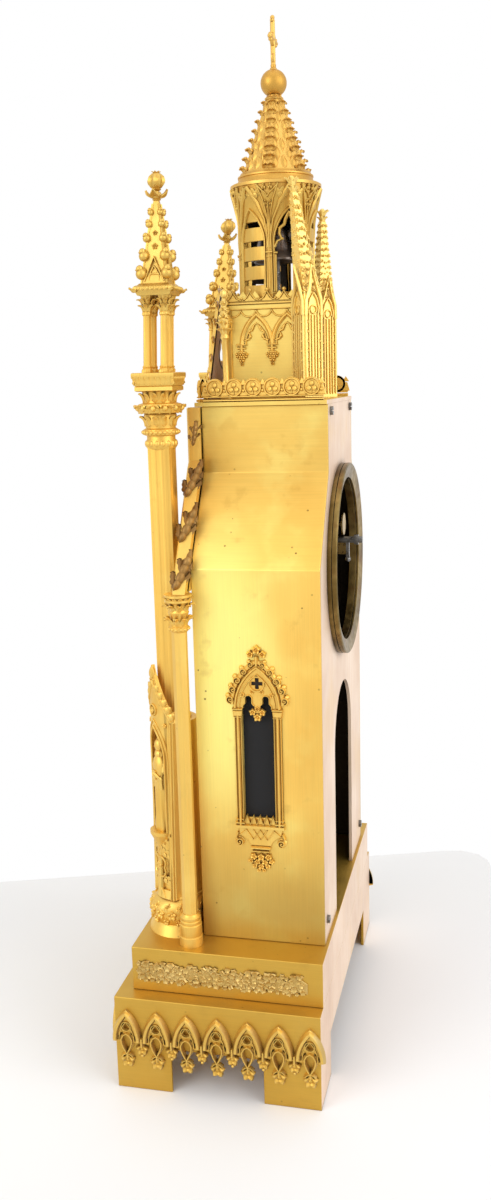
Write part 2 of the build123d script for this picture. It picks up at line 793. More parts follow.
def make_corner_pinnacle():
    """A crocketed pinnacle with base gablets and a leaf-and-bud finial."""
    z0 = column_top() + COLONNETTE_H + ENTABLATURE_H
    z1 = z0 + PINNACLE_H
    body = spire_of(PINNACLE_HALF, 1.9, z0, z1)
    balls = edge_balls(PINNACLE_HALF, 1.9, z0 + 2.0, z1, 5, 3.3)
    finial = turned(
        [
            (2.2, z1 - 1.0),
            (1.6, z1 + FINIAL_H * 0.12),
            (5.4, z1 + FINIAL_H * 0.22),
            (5.4, z1 + FINIAL_H * 0.27),
            (1.7, z1 + FINIAL_H * 0.38),
            (1.7, z1 + FINIAL_H * 0.46),
            (3.6, z1 + FINIAL_H * 0.56),
            (4.5, z1 + FINIAL_H * 0.74),
            (3.4, z1 + FINIAL_H * 0.92),
            (1.0, z1 + FINIAL_H),
        ]
    )
    return Pos(PIER_X, PIER_Y, 0) * (body + [finial, *balls])


def slender_top():
    """Height of the slender columns' capitals."""
    return STEP_TOP + SLENDER_FOOT_H + SLENDER_H + SLENDER_CAP_H


def make_slender_column():
    """An octagonal shaft on a ringed foot, with a leafy capital."""
    z0 = STEP_TOP
    z1 = z0 + SLENDER_FOOT_H
    z2 = z1 + SLENDER_H
    foot = turned(
        [
            (SLENDER_FOOT_R, z0),
            (SLENDER_FOOT_R, z0 + SLENDER_FOOT_H * 0.48),
            (SLENDER_FOOT_R * 0.96, z0 + SLENDER_FOOT_H * 0.52),
            (SLENDER_FOOT_R * 0.96, z0 + SLENDER_FOOT_H * 0.8),
            (SLENDER_R * 1.1, z1),
        ]
    )
    shaft = Pos(0, 0, z1) * extrude(RegularPolygon(SLENDER_R, 8), amount=SLENDER_H)
    capital = turned(
        [
            (SLENDER_R + 1.2, z2),
            (SLENDER_R + 1.2, z2 + 1.6),
            (SLENDER_R + 0.4, z2 + 2.4),
            (SLENDER_CAP_HALF - 0.8, z2 + SLENDER_CAP_H * 0.4),
            (SLENDER_R + 0.8, z2 + SLENDER_CAP_H * 0.48),
            (SLENDER_CAP_HALF, z2 + SLENDER_CAP_H * 0.82),
            (SLENDER_CAP_HALF, z2 + SLENDER_CAP_H),
        ]
    )
    band = post(PIER_X - SLENDER_X, PIER_Y - SLENDER_Y, z0, PIER_TOP, PIER_BAND_R + RUN)
    return Pos(SLENDER_X, SLENDER_Y, 0) * (foot + [shaft, capital] - band)


def make_raking_crest():
    """A coping up the shoulder's front edge, from the slender column to the roof, with leaf crockets."""
    w = CREST_HALF_W
    foot = slender_top()
    line = [(SLENDER_X, foot), (HEAD_HALF_W + w, NECK_Z + w), (HEAD_HALF_W + w, ROOF_Z)]
    inner = [(HEAD_HALF_W - w, ROOF_Z), (HEAD_HALF_W - w, NECK_Z - w), (SLENDER_X - 3 * w, foot)]
    strip = polygon((SLENDER_X + w, foot), *line[1:], *inner)
    leaves = []
    for i in range(4):
        share = (i + 0.5) / 4
        x = line[0][0] + (line[1][0] - line[0][0]) * share
        z = line[0][1] + (line[1][1] - line[0][1]) * share
        leaves.append(Pos(x + 2.0, z + 2.5) * Rot(0, 0, -30) * Ellipse(5.4, 4.0))
    for share in (0.3, 0.75):
        z = NECK_Z + (ROOF_Z - NECK_Z) * share
        leaves.append(Pos(HEAD_HALF_W + w, z) * Ellipse(3.4, 5.0))
    face = (strip + leaves) & bar(0, 2 * SLENDER_X, foot, ROOF_Z)
    return across(face, CASE_FRONT - CREST_DEPTH, CASE_FRONT)


def make_front_gable():
    """A crocketed gable over the front, standing before the gallery."""
    z0 = ROOF_TOP
    z1 = ROOF_TOP + GABLE_H
    outline = polygon((-GABLE_HALF, z0), (GABLE_HALF, z0), (0, z1))
    crockets = [disc(0, z1, 4.0)]
    for side in (-1, 1):
        for i in range(5):
            share = (i + 0.6) / 5.6
            crockets.append(disc(side * GABLE_HALF * (1 - share), z0 + GABLE_H * share, 4.2 - 0.3 * i))
    holes = trefoil_light(z0 + GABLE_H * 0.42, 7.0)
    face = (outline + crockets - holes) & bar(-2 * GABLE_HALF, 2 * GABLE_HALF, z0, z1 + 5)
    back = ROOF_FRONT + GALLERY_T + GABLE_T
    return across(face, back - GABLE_T, back)


def trefoil_light(z, size):
    """A pierced trefoil of three round lobes about the middle line."""
    lobes = [disc(size * 0.55 * math.cos(a), z + size * 0.55 * math.sin(a), size * 0.5) for a in thirds()]
    return disc(0, z, size * 0.4) + lobes


# Tower and belfry

def make_tower_box():
    """A hollow square tower with panel tracery on its sides and a cresting of small teeth."""
    half = TOWER_HALF
    shell = block(-half, half, TOWER_FRONT, TOWER_BACK, ROOF_TOP, TOWER_TOP)
    inner = half - SHEET
    hollow = block(-inner, inner, TOWER_FRONT + SHEET, TOWER_BACK - SHEET, ROOF_TOP, TOWER_TOP - SHEET)
    body = shell - hollow - post(wire_x(), wire_y(), TOWER_TOP - SHEET, TOWER_TOP, WIRE_R + CLEAR)
    teeth = []
    depth = TOWER_BACK - TOWER_FRONT
    count = 7
    for i in range(count):
        y = TOWER_FRONT + depth * (i + 0.5) / count
        step = depth / count * 0.5
        tooth = polygon((y - step, TOWER_TOP), (y + step, TOWER_TOP), (y, TOWER_TOP + CREST_TOOTH))
        right = along(tooth, half - 1.3, half)
        teeth += [right, flip(right)]
        x = -half + 2 * half * (i + 0.5) / count
        step = half / count
        tooth = polygon((x - step, TOWER_TOP), (x + step, TOWER_TOP), (x, TOWER_TOP + CREST_TOOTH))
        teeth.append(across(tooth, TOWER_FRONT, TOWER_FRONT + 1.3))
    moulding = block(-half - 1, half + 1, TOWER_FRONT - 1, TOWER_BACK, TOWER_TOP - 5, TOWER_TOP - 3)
    moulding -= block(-half, half, TOWER_FRONT, TOWER_BACK, TOWER_TOP - 5, TOWER_TOP - 3)
    return body + [*teeth, moulding]


def make_rear_turret():
    """A pinnacle set corner-on at the tower's back corner, cut to fit it."""
    side = TURRET_SIDE / 2
    z0 = ROOF_TOP
    z1 = z0 + TURRET_H
    z2 = z0 + TURRET_TIP_H - 8
    x, y = TOWER_HALF + 2.0, TOWER_BACK - 2.0
    body = spire_of(side, side * 0.94, z0, z1, x, y, 45)
    tip = spire_of(side * 0.8, 1.3, z1 - 6, z2, x, y, 45)
    bud = Pos(x, y, 0) * turned([(1.2, z2 - 1), (2.4, z2 + 2), (1.6, z2 + 5), (2.5, z2 + 7), (2.5, z2 + 8)])
    gablets = []
    for turn in (45, 135, 225, 315):
        face = pointed(side * 0.8, z1 - 12, z1 - 2, z1 + 9)
        gablets.append(Pos(x, y, 0) * Rot(0, 0, turn) * across(face, -side, -side + 1.6))
    shape = body + [tip, bud, *gablets]
    return shape - tower_bulk() - post(0, TOWER_Y, TOWER_TOP, LANTERN_TOP, LANTERN_R + SHAFT_R + RUN)


def make_front_turret():
    """A slim colonnette at the tower's front corner that carries a crocketed pinnacle."""
    x, y = BALUSTER_X, BALUSTER_Y
    z0 = ROOF_TOP
    z1 = z0 + BALUSTER_H
    z2 = z0 + BALUSTER_TIP_H - 14
    shaft = turned(
        [
            (BALUSTER_R * 1.9, z0),
            (BALUSTER_R * 1.9, z0 + 3),
            (BALUSTER_R, z0 + 5),
            (BALUSTER_R, z1 - 8),
            (BALUSTER_R * 1.6, z1 - 6),
            (BALUSTER_R * 1.2, z1 - 5),
            (BALUSTER_R * 1.9, z1),
        ]
    )
    body = spire_of(3.6, 1.0, z1, z2)
    balls = edge_balls(3.6, 1.0, z1 + 1, z2, 4, 2.1)
    finial = turned(
        [
            (1.1, z2 - 1),
            (1.0, z2 + 1),
            (3.9, z2 + 3.0),
            (3.9, z2 + 3.6),
            (1.0, z2 + 5.4),
            (2.6, z2 + 8),
            (3.0, z2 + 10.5),
            (1.0, z2 + 14),
        ]
    )
    return Pos(x, y, 0) * (shaft + [body, finial, *balls]) - tower_bulk()


def tower_bulk():
    """The tower's outer bulk with its moulding and cresting, to cut the pinnacles clear of it."""
    wide = TOWER_HALF + 1
    trim = block(-wide, wide, TOWER_FRONT - 1, TOWER_BACK, TOWER_TOP - 5, TOWER_TOP - 3)
    return block(-TOWER_HALF, TOWER_HALF, TOWER_FRONT, TOWER_BACK, ROOF_TOP, TOWER_TOP + CREST_TOOTH) + trim


def make_tower_pinnacles():
    """Two pinnacles at the tower's front corners and two at its back corners."""
    rear = make_rear_turret()
    front = make_front_turret()
    return group(rear, flip(rear), front, flip(front))


def lantern_cut(index):
    """One belfry opening as a solid to cut away, louvred on every second face."""
    z = TOWER_TOP
    face = pointed(
        LANTERN_OPEN_HALF, z + LANTERN_OPEN_SILL, z + LANTERN_OPEN_SPRING, z + LANTERN_OPEN_APEX
    )
    if index % 2 == 0:
        gaps = []
        for i in range(LOUVRES):
            low = z + 2 * LANTERN_OPEN_SILL + LOUVRE_PITCH * i
            gaps.append(face & bar(-LANTERN_OPEN_HALF, LANTERN_OPEN_HALF, low, low + LOUVRE_GAP))
        face = gaps[0] + gaps[1:]
    prism = across(face, -2 * LANTERN_R, -LANTERN_R / 2)
    return Rot(0, 0, 60 * index + 60) * prism


def make_lantern():
    """The six-sided belfry: shafts, pointed openings, louvres and ribs that flare to the cornice."""
    inner = LANTERN_R - LANTERN_WALL
    wall = turned_ring(
        [
            (LANTERN_R, TOWER_TOP),
            (LANTERN_R, LANTERN_TOP - 14),
            (LANTERN_R + 1.6, LANTERN_TOP - 5),
            (LANTERN_R + 3.4, LANTERN_TOP),
            (inner, LANTERN_TOP),
            (inner, TOWER_TOP),
        ]
    )
    wall = wall - [lantern_cut(i) for i in range(6)]
    shafts = []
    for i in range(6):
        angle = math.radians(60 * i)
        x = (LANTERN_R - 0.6) * math.cos(angle)
        y = (LANTERN_R - 0.6) * math.sin(angle)
        shafts.append(post(x, y, TOWER_TOP, LANTERN_TOP - 4, SHAFT_R))
    return Pos(0, TOWER_Y, 0) * (wall + shafts)


def make_lantern_cornice():
    """The moulded ring between the belfry and the spire."""
    z = LANTERN_TOP
    h = CORNICE_H
    r = CORNICE_R
    inner = LANTERN_R - LANTERN_WALL
    ring = turned_ring(
        [
            (inner, z),
            (LANTERN_R + 3.4, z),
            (r - 0.5, z + h * 0.24),
            (r, z + h * 0.26),
            (r, z + h * 0.37),
            (r - 1.4, z + h * 0.4),
            (r - 2.2, z + h * 0.56),
            (r - 3.4, z + h * 0.7),
            (r - 4.4, z + h * 0.86),
            (r - 5.6, z + h),
            (SPIRE_R * 0.6, z + h),
            (SPIRE_R * 0.6, z + h - 2.0),
            (inner, z + h - 2.0),
        ]
    )
    return Pos(0, TOWER_Y, 0) * ring


def make_spire():
    """A six-sided spire with small crockets up its ridges."""
    low = Pos(0, TOWER_Y, CORNICE_TOP) * RegularPolygon(SPIRE_R, 6)
    high = Pos(0, TOWER_Y, SPIRE_TOP) * RegularPolygon(SPIRE_TIP_R, 6)
    crockets = []
    rows = 7
    for row in range(rows):
        share = (row + 0.5) / rows
        reach = SPIRE_R + (SPIRE_TIP_R - SPIRE_R) * share
        z = CORNICE_TOP + SPIRE_H * share
        for i in range(6):
            angle = math.radians(60 * i)
            place = Pos(reach * math.cos(angle), TOWER_Y + reach * math.sin(angle), z)
            crockets.append(place * Sphere(1.5 - 0.5 * share))
    return loft([low, high]) + crockets


def make_ball_and_cross():
    """The ball on its neck, and a cross with trefoil ends."""
    z = SPIRE_TOP + BALL_R
    ball = Pos(0, TOWER_Y, z) * Sphere(BALL_R)
    neck = post(0, TOWER_Y, SPIRE_TOP, z - BALL_R / 2, SPIRE_TIP_R * 0.8)
    foot = z + BALL_R * 0.9
    top = z + BALL_R + CROSS_H
    arm_z = foot + CROSS_H * 0.58
    half = CROSS_W / 2
    face = [
        bar(-half * 0.8, half * 0.8, foot, top - 2),
        bar(-CROSS_ARM + 2, CROSS_ARM - 2, arm_z - half * 0.8, arm_z + half * 0.8),
        disc(0, top - 2, 2.0),
        disc(-CROSS_ARM + 2, arm_z, 2.0),
        disc(CROSS_ARM - 2, arm_z, 2.0),
        disc(0, foot + 5, half * 1.4),
    ]
    cross = across(face[0] + face[1:], TOWER_Y - CROSS_T / 2, TOWER_Y + CROSS_T / 2)
    return ball + [neck, cross]


# Bell and hammer

def hammer_y():
    """The plane the hammer swings in."""
    return TOWER_Y + HAMMER_OFF_Y


def wire_x():
    """Where the hammer's wire runs, across the front."""
    return HAMMER_X - TAIL


def wire_y():
    """Where the hammer's wire runs, beside the tail."""
    return hammer_y() + HAMMER_T / 2 + CLEAR + WIRE_R


def bell_z():
    """Height of the bell's rim."""
    return TOWER_TOP + BELL_RISE


def make_bell():
    """A cast bell with a flared rim, bored at its crown for the post."""
    z = bell_z()
    r = BELL_R
    w = BELL_WALL
    h = BELL_H
    ring = turned_ring(
        [
            (r - w, z),
            (r, z),
            (r, z + 1.2),
            (r * 0.82, z + h * 0.22),
            (r * 0.7, z + h * 0.55),
            (r * 0.58, z + h * 0.82),
            (r * 0.36, z + h),
            (POST_R + RUN, z + h),
            (POST_R + RUN, z + h - w),
            (r * 0.36, z + h - w),
            (r * 0.58 - w, z + h * 0.8),
            (r * 0.7 - w, z + h * 0.55),
            (r * 0.82 - w, z + h * 0.22),
        ]
    )
    return Pos(0, TOWER_Y, 0) * ring


def make_bell_post():
    """The stand: a foot, a post with a collar under the bell and a nut over it, and two ears for the hammer."""
    z0 = TOWER_TOP
    crown = bell_z() + BELL_H
    foot = post(0, TOWER_Y, z0, z0 + STAND_T, STAND_R)
    rod = post(0, TOWER_Y, z0, crown + 4.0, POST_R)
    collar = post(0, TOWER_Y, crown - BELL_WALL - 1.5, crown - BELL_WALL, POST_R + 1.4)
    nut = post(0, TOWER_Y, crown, crown + 2.6, POST_R + 1.4)
    ears = []
    half = HAMMER_T / 2 + CLEAR
    pivot = z0 + HAMMER_RISE
    for y0 in (hammer_y() - half - 1.6, hammer_y() + half):
        ear = block(HAMMER_X - 1.6, HAMMER_X + 1.6, y0, y0 + 1.6, z0, pivot + 1.8)
        ears.append(ear - spindle(HAMMER_X, pivot, y0, y0 + 1.6, PIN_R + RUN))
    hole = post(wire_x(), wire_y(), z0, z0 + STAND_T, WIRE_R + CLEAR)
    return (foot - hole) + [rod, collar, nut, *ears]


def make_hammer():
    """The hammer on its own arbor: an arm up to a ball inside the bell's rim and a tail for the wire."""
    y = hammer_y()
    pivot = TOWER_TOP + HAMMER_RISE
    rim = bell_z() + 2.0
    inside = BELL_R * 0.96 - BELL_WALL
    head_x = math.sqrt(inside**2 - HAMMER_OFF_Y**2) - HAMMER_HEAD_R - HAMMER_GAP
    half = HAMMER_T / 2
    arm = polygon(
        (HAMMER_X - 0.9, pivot),
        (HAMMER_X + 0.9, pivot),
        (head_x + 0.7, rim),
        (head_x - 0.7, rim),
    )
    tail = bar(wire_x() - 1.5, HAMMER_X, pivot - TAIL_HALF, pivot + TAIL_HALF)
    hub = disc(HAMMER_X, pivot, 1.8)
    blade = across(arm + [tail, hub], y - half, y + half)
    head = Pos(head_x, y, rim) * Sphere(HAMMER_HEAD_R)
    arbor = spindle(HAMMER_X, pivot, y - half - CLEAR - 1.6, y + half + CLEAR + 1.6, PIN_R)
    return blade + [head, arbor]


def make_hammer_wire():
    """The pull wire: a hook over the hammer's tail and a length down through the tower and the roof."""
    hook = TOWER_TOP + HAMMER_RISE + TAIL_HALF + TAIL_GAP + WIRE_R
    drop = post(wire_x(), wire_y(), hook - WIRE_DROP, hook, WIRE_R)
    bend = Pos(wire_x(), wire_y(), hook) * Sphere(WIRE_R)
    over = spindle(wire_x(), hook, hammer_y() - HAMMER_T / 2 - CLEAR, wire_y(), WIRE_R)
    return drop + [bend, over]


# Dial, rings and bezels

def hinge(x, y, z, parts):
    """A knuckle of the two-lug hinge: the fixed lugs with their pin, or the moving middle."""
    third = HINGE_L / 2
    if parts == "lugs":
        low = post(x, y, z - third - HINGE_L * 0.6, z - third - CLEAR, HINGE_R)
        high = post(x, y, z + third + CLEAR, z + third + HINGE_L * 0.6, HINGE_R)
        return [low, high, post(x, y, z - third - HINGE_L * 0.5, z + third + HINGE_L * 0.5, PIN_R)]
    return [post(x, y, z - third, z + third, HINGE_R)]


def front_hinge():
    """The front bezel's hinge line, in (X, Y)."""
    return RING_R_OUT + HINGE_R + CLEAR, CASE_FRONT - RING_T - CLEAR / 2


def rear_hinge():
    """The rear bezel's hinge line, in (X, Y)."""
    return -REAR_R - HINGE_R - CLEAR, CASE_BACK + REAR_RING_T + CLEAR / 2


def annulus(z, outer, inner):
    """A flat ring face."""
    return disc(0, z, outer) - disc(0, z, inner)


def make_dial_ring():
    """The fixed front ring: a flange on the front panel, a spigot in its hole and the bezel's hinge lugs."""
    flange = across(annulus(DIAL_Z, RING_R_OUT, DIAL_BORE), CASE_FRONT - RING_T, CASE_FRONT)
    spigot = across(annulus(DIAL_Z, SPIGOT_R, DIAL_BORE), CASE_FRONT, CASE_FRONT + SPIGOT_L)
    x, y = front_hinge()
    low, high, pin = hinge(x, y, DIAL_Z, "lugs")
    tabs = []
    for z in (DIAL_Z - HINGE_L * 0.85, DIAL_Z + HINGE_L * 0.85):
        h = HINGE_L * 0.22
        tabs.append(block(RING_R_OUT - 3, x, CASE_FRONT - RING_T, CASE_FRONT, z - h, z + h))
    return flange + [spigot, low, high, pin, *tabs]


def make_dial():
    """The dial plate with winding holes, on three feet that stand on the movement's front plate."""
    back = CASE_FRONT + SPIGOT_L - DIAL_T / 2
    front = back - DIAL_T
    holes = [disc(0, DIAL_Z, 3.4)]
    holes += [disc(side * BARREL_X, DIAL_Z - BARREL_DROP, BARREL_ARBOR_R + 1.2) for side in (-1, 1)]
    plate = across(disc(0, DIAL_Z, DIAL_R) - holes, front, back)
    feet = []
    for turn in (90, 210, 330):
        angle = math.radians(turn)
        x = (PLATE_R - 4) * math.cos(angle)
        z = DIAL_Z + (PLATE_R - 4) * math.sin(angle)
        feet.append(spindle(x, z, back, PLATE_FRONT, 1.6))
    return plate + feet


def dial_front():
    """The plane of the dial's face."""
    return CASE_FRONT + SPIGOT_L - 1.5 * DIAL_T


def make_front_bezel():
    """The hinged front bezel, moulded and rebated for its glass."""
    back = CASE_FRONT - RING_T - CLEAR
    front = back - BEZEL_T
    ring = Pos(0, 0, DIAL_Z) * Rot(90, 0, 0) * turned_ring(
        [
            (RING_R_OUT, -back),
            (RING_R_OUT, -back + BEZEL_T * 0.35),
            (RING_R_OUT - 2.0, -back + BEZEL_T * 0.75),
            (BEZEL_BORE + 2.0, -front),
            (BEZEL_BORE, -front - BEZEL_T * 0.25),
            (BEZEL_BORE, -back + BEZEL_T * 0.55),
            (GLASS_R + RUN, -back + BEZEL_T * 0.55),
            (GLASS_R + RUN, -back),
        ]
    )
    x, y = front_hinge()
    h = HINGE_L / 2
    tab = block(RING_R_OUT - 2.5, x, y - HINGE_R, back, DIAL_Z - h, DIAL_Z + h)
    tab -= spindle(0, DIAL_Z, y - 2 * HINGE_R, back, RING_R_OUT - 1.5)
    bore = post(x, y, DIAL_Z - h, DIAL_Z + h, PIN_R + RUN)
    return ring + [tab, *hinge(x, y, DIAL_Z, "middle")] - bore


def make_dial_glass():
    """The glass, seated in the front bezel's rebate."""
    seat = CASE_FRONT - RING_T - CLEAR - BEZEL_T * 0.55
    return across(disc(0, DIAL_Z, GLASS_R), seat, seat + GLASS_T)


def make_rear_ring():
    """The fixed rear ring: a flange on the back panel, a spigot in its hole and hinge lugs."""
    flange = across(annulus(DIAL_Z, REAR_R, REAR_BORE), CASE_BACK, CASE_BACK + REAR_RING_T)
    spigot = across(annulus(DIAL_Z, REAR_SPIGOT_R, REAR_BORE), CASE_BACK - SHEET, CASE_BACK)
    x, y = rear_hinge()
    low, high, pin = hinge(x, y, DIAL_Z, "lugs")
    tabs = []
    for z in (DIAL_Z - HINGE_L * 0.85, DIAL_Z + HINGE_L * 0.85):
        h = HINGE_L * 0.22
        tabs.append(block(x, -REAR_R + 3, CASE_BACK, CASE_BACK + REAR_RING_T, z - h, z + h))
    return flange + [spigot, low, high, pin, *tabs]


def make_rear_bezel():
    """The hinged rear bezel, dished towards its hole."""
    front = CASE_BACK + REAR_RING_T + CLEAR
    back = front + REAR_BEZEL_T
    ring = Pos(0, 0, DIAL_Z) * Rot(-90, 0, 0) * turned_ring(
        [
            (REAR_BORE, front),
            (REAR_R, front),
            (REAR_R, back - 0.6),
            (REAR_R - 0.8, back),
            (REAR_BORE, back - REAR_BEZEL_T * 0.55),
        ]
    )
    x, y = rear_hinge()
    h = HINGE_L / 2
    tab = block(x, -REAR_R + 2.5, front, y + HINGE_R, DIAL_Z - h, DIAL_Z + h)
    tab -= spindle(0, DIAL_Z, front, y + 2 * HINGE_R, REAR_R - 1.5)
    bore = post(x, y, DIAL_Z - h, DIAL_Z + h, PIN_R + RUN)
    return ring + [tab, *hinge(x, y, DIAL_Z, "middle")] - bore


def make_movement_straps():
    """Two straps inside the case that tie the front ring to the rear ring."""
    y0 = CASE_FRONT + SPIGOT_L
    y1 = CASE_BACK - SHEET
    half = STRAP_W / 2
    strap = block(DIAL_BORE + 0.4, REAR_SPIGOT_R - 0.4, y0, y1, DIAL_Z - half, DIAL_Z + half)
    return pair(strap)


# Movement

TOOTH_TIP = 0.12
TOOTH_ROOT = 0.46
ADDENDUM = 0.58
DEDENDUM = 1.0


def toothed(x, z, teeth, radius, phase=0.0):
    """A toothed wheel's face about (x, z), with one tooth centred on the phase angle."""
    module = 2 * radius / teeth
    tip = radius + ADDENDUM * module
    root = radius - DEDENDUM * module
    step = 2 * math.pi / teeth
    points = []
    for k in range(teeth):
        middle = phase + k * step
        for r, share in ((root, -TOOTH_ROOT), (tip, -TOOTH_TIP), (tip, TOOTH_TIP), (root, TOOTH_ROOT)):
            angle = middle + share * step / 2
            points.append((x + r * math.cos(angle), z + r * math.sin(angle)))
    return polygon(*points)


def crossed(face, x, z, radius, hub):
    """A wheel face with its crossings cut out between four arms."""
    mid = (radius + hub) / 2
    hole = min((radius - hub) / 2 - 0.6, mid * 0.62)
    return face - [
        disc(x + mid * math.cos(a), z + mid * math.sin(a), hole)
        for a in [math.radians(45 + 90 * i) for i in range(4)]
    ]


def meshed(place, teeth, phase, other_place, other_teeth):
    """The phase that sets another wheel's gap against this wheel's tooth."""
    heading = math.atan2(other_place[1] - place[1], other_place[0] - place[0])
    pitch = 2 * math.pi / teeth
    other_pitch = 2 * math.pi / other_teeth
    share = ((heading - phase) / pitch) % 1.0
    return heading + math.pi + (share + 0.5) * other_pitch


def reach_point(a, from_a, b, from_b, side):
    """The point at given distances from two others, on one side of the line between them."""
    dx, dz = b[0] - a[0], b[1] - a[1]
    d = math.hypot(dx, dz)
    t = (from_a**2 - from_b**2 + d**2) / (2 * d)
    h = math.sqrt(max(from_a**2 - t**2, 0.0))
    return a[0] + (t * dx - side * h * dz) / d, a[1] + (t * dz + side * h * dx) / d


def pinion_r(wheel_r, wheel_teeth, leaves):
    """Pitch radius of a pinion that meshes with a wheel."""
    return wheel_r * leaves / wheel_teeth


# Arbor places, in (X, Z)
CENTRE = (0.0, DIAL_Z)
GOING = (BARREL_X, DIAL_Z - BARREL_DROP)
STRIKE = (-BARREL_X, DIAL_Z - BARREL_DROP)
FROM_BARREL = GREAT_R + pinion_r(GREAT_R, GREAT_TEETH, BARREL_PINION)
FROM_CENTRE = SECOND_R + pinion_r(SECOND_R, SECOND_TEETH, CENTRE_PINION)
SECOND = reach_point(CENTRE, FROM_CENTRE, GOING, FROM_BARREL, -1)
STRIKE_ARBOR = reach_point(CENTRE, FROM_CENTRE, STRIKE, FROM_BARREL, -1)
ESCAPE = (0.0, DIAL_Z + ESCAPE_RISE)
TO_THIRD = CENTRE_WHEEL_R + pinion_r(CENTRE_WHEEL_R, CENTRE_TEETH, THIRD_PINION)
TO_ESCAPE = THIRD_R + pinion_r(THIRD_R, THIRD_TEETH, ESCAPE_PINION)
THIRD = reach_point(CENTRE, TO_THIRD, ESCAPE, TO_ESCAPE, -1)
ANCHOR = (0.0, ESCAPE[1] + ANCHOR_RISE)
MINUTE = (0.0, DIAL_Z - MOTION_DROP)
PIN_OUT = STRIKE_R + pinion_r(STRIKE_R, STRIKE_TEETH, PIN_PINION)
PIN = (
    STRIKE_ARBOR[0] + PIN_OUT * math.cos(math.radians(PIN_TURN)),
    STRIKE_ARBOR[1] + PIN_OUT * math.sin(math.radians(PIN_TURN)),
)
FLY_OUT = PIN_WHEEL_R + pinion_r(PIN_WHEEL_R, PIN_TEETH, FLY_PINION)
FLY = (
    PIN[0] + FLY_OUT * math.cos(math.radians(FLY_TURN)),
    PIN[1] + FLY_OUT * math.sin(math.radians(FLY_TURN)),
)

# Planes across the movement, from the front plate's inner face
PLANE_A = GAP_0 + 1.5
PLANE_B = PLANE_A + WHEEL_T + 1.0
PLANE_C = PLANE_B + WHEEL_T + 1.0
PLANE_GREAT = PLANE_C + WHEEL_T + 1.5
PLANE_STRIKE = PLANE_GREAT + BARREL_L
PLANE_ESCAPE = GAP_1 - 6.0


def plane_slice(face, y, thickness):
    """A face made solid from a plane backwards."""
    return across(face, y, y + thickness)


def arbor(place, y0=None, y1=None, radius=None):
    """An arbor with shoulders between the plates and pivots in them."""
    x, z = place
    low = GAP_0 + CLEAR if y0 is None else y0
    high = GAP_1 - CLEAR if y1 is None else y1
    return spindle(x, z, low, high, radius or ARBOR_R) + spindle(x, z, PLATE_FRONT, PLATE_BACK, PIVOT_R)


def pinion(place, teeth, radius, y, length, phase):
    """A pinion with its leaves about an arbor."""
    return plane_slice(toothed(*place, teeth, radius, phase), y, length)


def wheel(place, teeth, radius, y, phase, hub=2.4):
    """A crossed-out wheel."""
    module = 2 * radius / teeth
    face = crossed(toothed(*place, teeth, radius, phase), *place, radius - DEDENDUM * module - 1.0, hub)
    return plane_slice(face, y, WHEEL_T)


def make_movement_plates():
    """Front and back plates, bored for the arbors."""
    x_out = [THIRD, ESCAPE, ANCHOR, SECOND, PIN, FLY]
    small = [disc(*place, PIVOT_R + RUN) for place in x_out]
    barrels = [disc(*place, BARREL_ARBOR_R + RUN) for place in (GOING, STRIKE)]
    plate = disc(*CENTRE, PLATE_R) - small - barrels
    front = plate - disc(*CENTRE, CENTRE_R + RUN) - disc(*STRIKE_ARBOR, PIVOT_R + RUN)
    back = plate - disc(*CENTRE, PIVOT_R + RUN) - disc(*STRIKE_ARBOR, CENTRE_R + RUN)
    front = front - disc(*MINUTE, PIVOT_R + RUN)
    return group(across(front, PLATE_FRONT, GAP_0), across(back, GAP_1, PLATE_BACK))


def make_plate_pillars():
    """Four turned pillars between the plates."""
    pillars = []
    for turn in (22.0, 158.0, 245.0, 295.0):
        angle = math.radians(turn)
        x = (PLATE_R - 5) * math.cos(angle)
        z = DIAL_Z + (PLATE_R - 5) * math.sin(angle)
        waist = spindle(x, z, GAP_0, GAP_1, PILLAR_R * 0.8)
        collars = [spindle(x, z, y, y + 3.0, PILLAR_R) for y in (GAP_0, GAP_1 - 3.0)]
        pillars.append(waist + collars)
    return group(*pillars)


def make_barrel(place, phase, y_great):
    """A spring barrel with its great wheel at one end and a winding arbor that reaches the dial."""
    x, z = place
    low, high = PLANE_GREAT, PLANE_GREAT + BARREL_L + WHEEL_T
    great = plane_slice(toothed(x, z, GREAT_TEETH, GREAT_R, phase), y_great, WHEEL_T)
    drum = spindle(x, z, low, high, BARREL_R)
    shaft = spindle(x, z, dial_front() - 0.4, PLATE_BACK, BARREL_ARBOR_R)
    return great + [drum, shaft]


GOING_PHASE = 0.0
SECOND_LEAF_PHASE = meshed(GOING, GREAT_TEETH, GOING_PHASE, SECOND, BARREL_PINION)
SECOND_PHASE = 0.0
CENTRE_LEAF_PHASE = meshed(SECOND, SECOND_TEETH, SECOND_PHASE, CENTRE, CENTRE_PINION)
CENTRE_PHASE = 0.0
THIRD_LEAF_PHASE = meshed(CENTRE, CENTRE_TEETH, CENTRE_PHASE, THIRD, THIRD_PINION)
THIRD_PHASE = 0.0
ESCAPE_LEAF_PHASE = meshed(THIRD, THIRD_TEETH, THIRD_PHASE, ESCAPE, ESCAPE_PINION)
CANNON_PHASE = 0.0
MINUTE_PHASE = meshed(CENTRE, CANNON_TEETH, CANNON_PHASE, MINUTE, MINUTE_TEETH)
MINUTE_LEAF_PHASE = 0.0
HOUR_PHASE = meshed(MINUTE, MINUTE_PINION, MINUTE_LEAF_PHASE, CENTRE, HOUR_TEETH)
STRIKE_PHASE = 0.0
STRIKE_LEAF_PHASE = meshed(STRIKE, GREAT_TEETH, STRIKE_PHASE, STRIKE_ARBOR, BARREL_PINION)
STRIKE_WHEEL_PHASE = 0.0
PIN_LEAF_PHASE = meshed(STRIKE_ARBOR, STRIKE_TEETH, STRIKE_WHEEL_PHASE, PIN, PIN_PINION)
PIN_PHASE = 0.0
